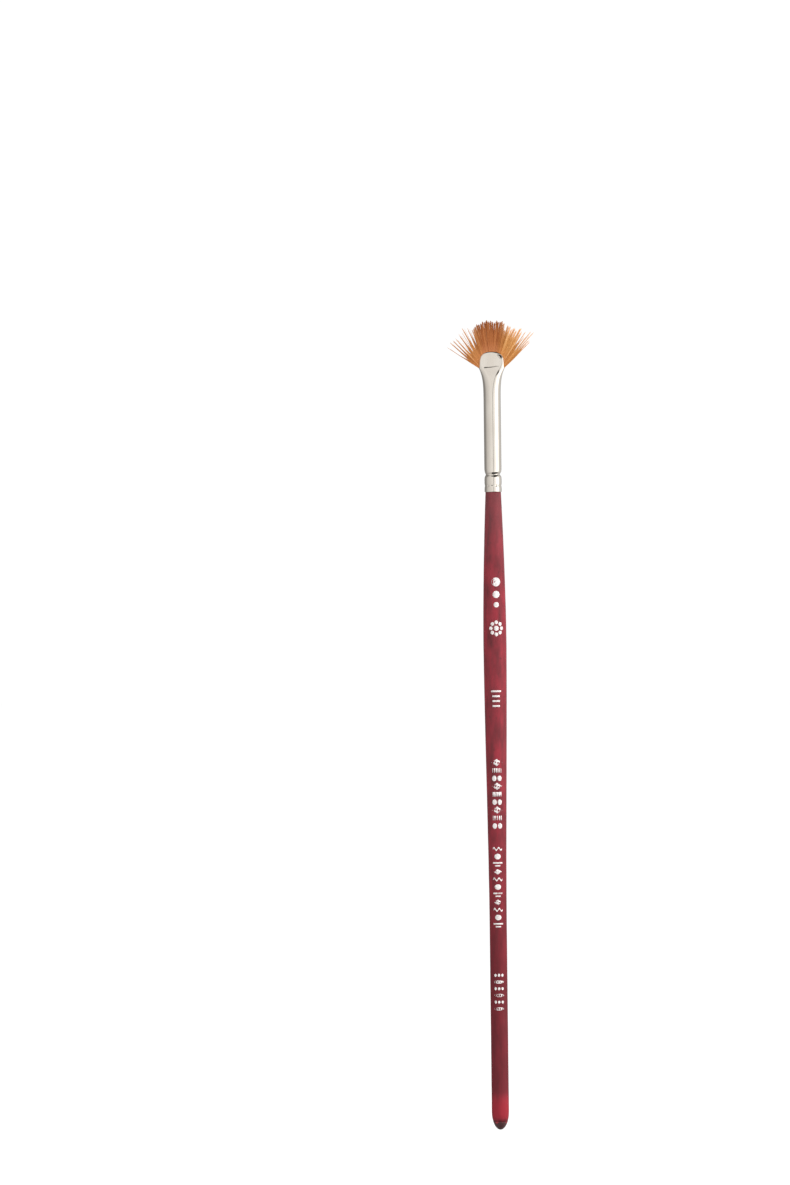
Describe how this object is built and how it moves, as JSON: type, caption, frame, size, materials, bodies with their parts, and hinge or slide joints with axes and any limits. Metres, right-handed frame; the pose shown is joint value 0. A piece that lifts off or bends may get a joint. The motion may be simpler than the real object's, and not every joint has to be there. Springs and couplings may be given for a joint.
{
  "type": "paint brush",
  "caption": "Small fan paint brush: slim soft-coated handle, crimped metal ferrule pressed flat into an arched head, and a spread fan of springy synthetic hair.",
  "frame": {"origin": "on the handle's axis at the lower end of the straight tail shank, 4 mm above the tip of the tail", "axes": "+Z along the brush from the tail to the hair, X across the width of the fan, -Y out of the printed front face"},
  "size_m": [0.0192, 0.0052, 0.1808],
  "materials": {
    "wood": "plain turned hardwood, hidden under the coating",
    "soft_coat": "crimson soft-touch coating, velvety and slightly mottled",
    "dark_dip": "dark dipped lacquer, satin",
    "nickel": "polished nickel plate on seamless tube",
    "adhesive": "cured adhesive",
    "thread": "twisted binding thread",
    "filament": "golden brown synthetic filament, satin"
  },
  "bodies": {
    "brush_body": {"handle_core": "wood", "handle_coat": "soft_coat", "tip_dip": "dark_dip", "tenon_glue": "adhesive", "ferrule": "nickel", "root_resin": "adhesive", "root_binding": "thread", "hair_root": "filament"},
    "hair_01": {"lock_01": "filament"},
    "hair_02": {"lock_02": "filament"},
    "hair_03": {"lock_03": "filament"},
    "hair_04": {"lock_04": "filament"},
    "hair_05": {"lock_05": "filament"},
    "hair_06": {"lock_06": "filament"},
    "hair_07": {"lock_07": "filament"},
    "hair_08": {"lock_08": "filament"},
    "hair_09": {"lock_09": "filament"},
    "hair_10": {"lock_10": "filament"},
    "hair_11": {"lock_11": "filament"}
  },
  "joints": [
    {"name": "hair_flex", "type": "hinge", "parent": "brush_body", "child": "hair_06", "pos_m": [-0.00051, 0, 0.17021], "axis": [0.9962, 0, 0.0872], "range_deg": [-60, 60], "stiffness_Nm_per_rad": 0.0001},
    {"name": "lock_01_flex", "type": "hinge", "parent": "brush_body", "child": "hair_01", "pos_m": [-0.0032, 0, 0.16691], "axis": [0.6244, 0, 0.7811], "range_deg": [-60, 60], "stiffness_Nm_per_rad": 0.0001},
    {"name": "lock_02_flex", "type": "hinge", "parent": "brush_body", "child": "hair_02", "pos_m": [-0.00309, 0, 0.16777], "axis": [0.7421, 0, 0.6703], "range_deg": [-60, 60], "stiffness_Nm_per_rad": 0.0001},
    {"name": "lock_03_flex", "type": "hinge", "parent": "brush_body", "child": "hair_03", "pos_m": [-0.00281, 0, 0.1687], "axis": [0.8404, 0, 0.542], "range_deg": [-60, 60], "stiffness_Nm_per_rad": 0.0001},
    {"name": "lock_04_flex", "type": "hinge", "parent": "brush_body", "child": "hair_04", "pos_m": [-0.00225, 0, 0.16952], "axis": [0.9167, 0, 0.3995], "range_deg": [-60, 60], "stiffness_Nm_per_rad": 0.0001},
    {"name": "lock_05_flex", "type": "hinge", "parent": "brush_body", "child": "hair_05", "pos_m": [-0.00144, 0, 0.17003], "axis": [0.9691, 0, 0.2465], "range_deg": [-60, 60], "stiffness_Nm_per_rad": 0.0001},
    {"name": "lock_07_flex", "type": "hinge", "parent": "brush_body", "child": "hair_07", "pos_m": [0.00044, 0, 0.17021], "axis": [0.9972, 0, -0.0745], "range_deg": [-60, 60], "stiffness_Nm_per_rad": 0.0001},
    {"name": "lock_08_flex", "type": "hinge", "parent": "brush_body", "child": "hair_08", "pos_m": [0.00137, 0, 0.17005], "axis": [0.9722, 0, -0.2342], "range_deg": [-60, 60], "stiffness_Nm_per_rad": 0.0001},
    {"name": "lock_09_flex", "type": "hinge", "parent": "brush_body", "child": "hair_09", "pos_m": [0.0022, 0, 0.16957], "axis": [0.9217, 0, -0.3878], "range_deg": [-60, 60], "stiffness_Nm_per_rad": 0.0001},
    {"name": "lock_10_flex", "type": "hinge", "parent": "brush_body", "child": "hair_10", "pos_m": [0.00277, 0, 0.16877], "axis": [0.8472, 0, -0.5313], "range_deg": [-60, 60], "stiffness_Nm_per_rad": 0.0001},
    {"name": "lock_11_flex", "type": "hinge", "parent": "brush_body", "child": "hair_11", "pos_m": [0.00307, 0, 0.16784], "axis": [0.7505, 0, -0.6608], "range_deg": [-60, 60], "stiffness_Nm_per_rad": 0.0001}
  ],
  "couplings": [
    {"joint": "lock_01_flex", "follows": "hair_flex", "ratio": 1},
    {"joint": "lock_02_flex", "follows": "hair_flex", "ratio": 1},
    {"joint": "lock_03_flex", "follows": "hair_flex", "ratio": 1},
    {"joint": "lock_04_flex", "follows": "hair_flex", "ratio": 1},
    {"joint": "lock_05_flex", "follows": "hair_flex", "ratio": 1},
    {"joint": "lock_07_flex", "follows": "hair_flex", "ratio": 1},
    {"joint": "lock_08_flex", "follows": "hair_flex", "ratio": 1},
    {"joint": "lock_09_flex", "follows": "hair_flex", "ratio": 1},
    {"joint": "lock_10_flex", "follows": "hair_flex", "ratio": 1},
    {"joint": "lock_11_flex", "follows": "hair_flex", "ratio": 1}
  ]
}
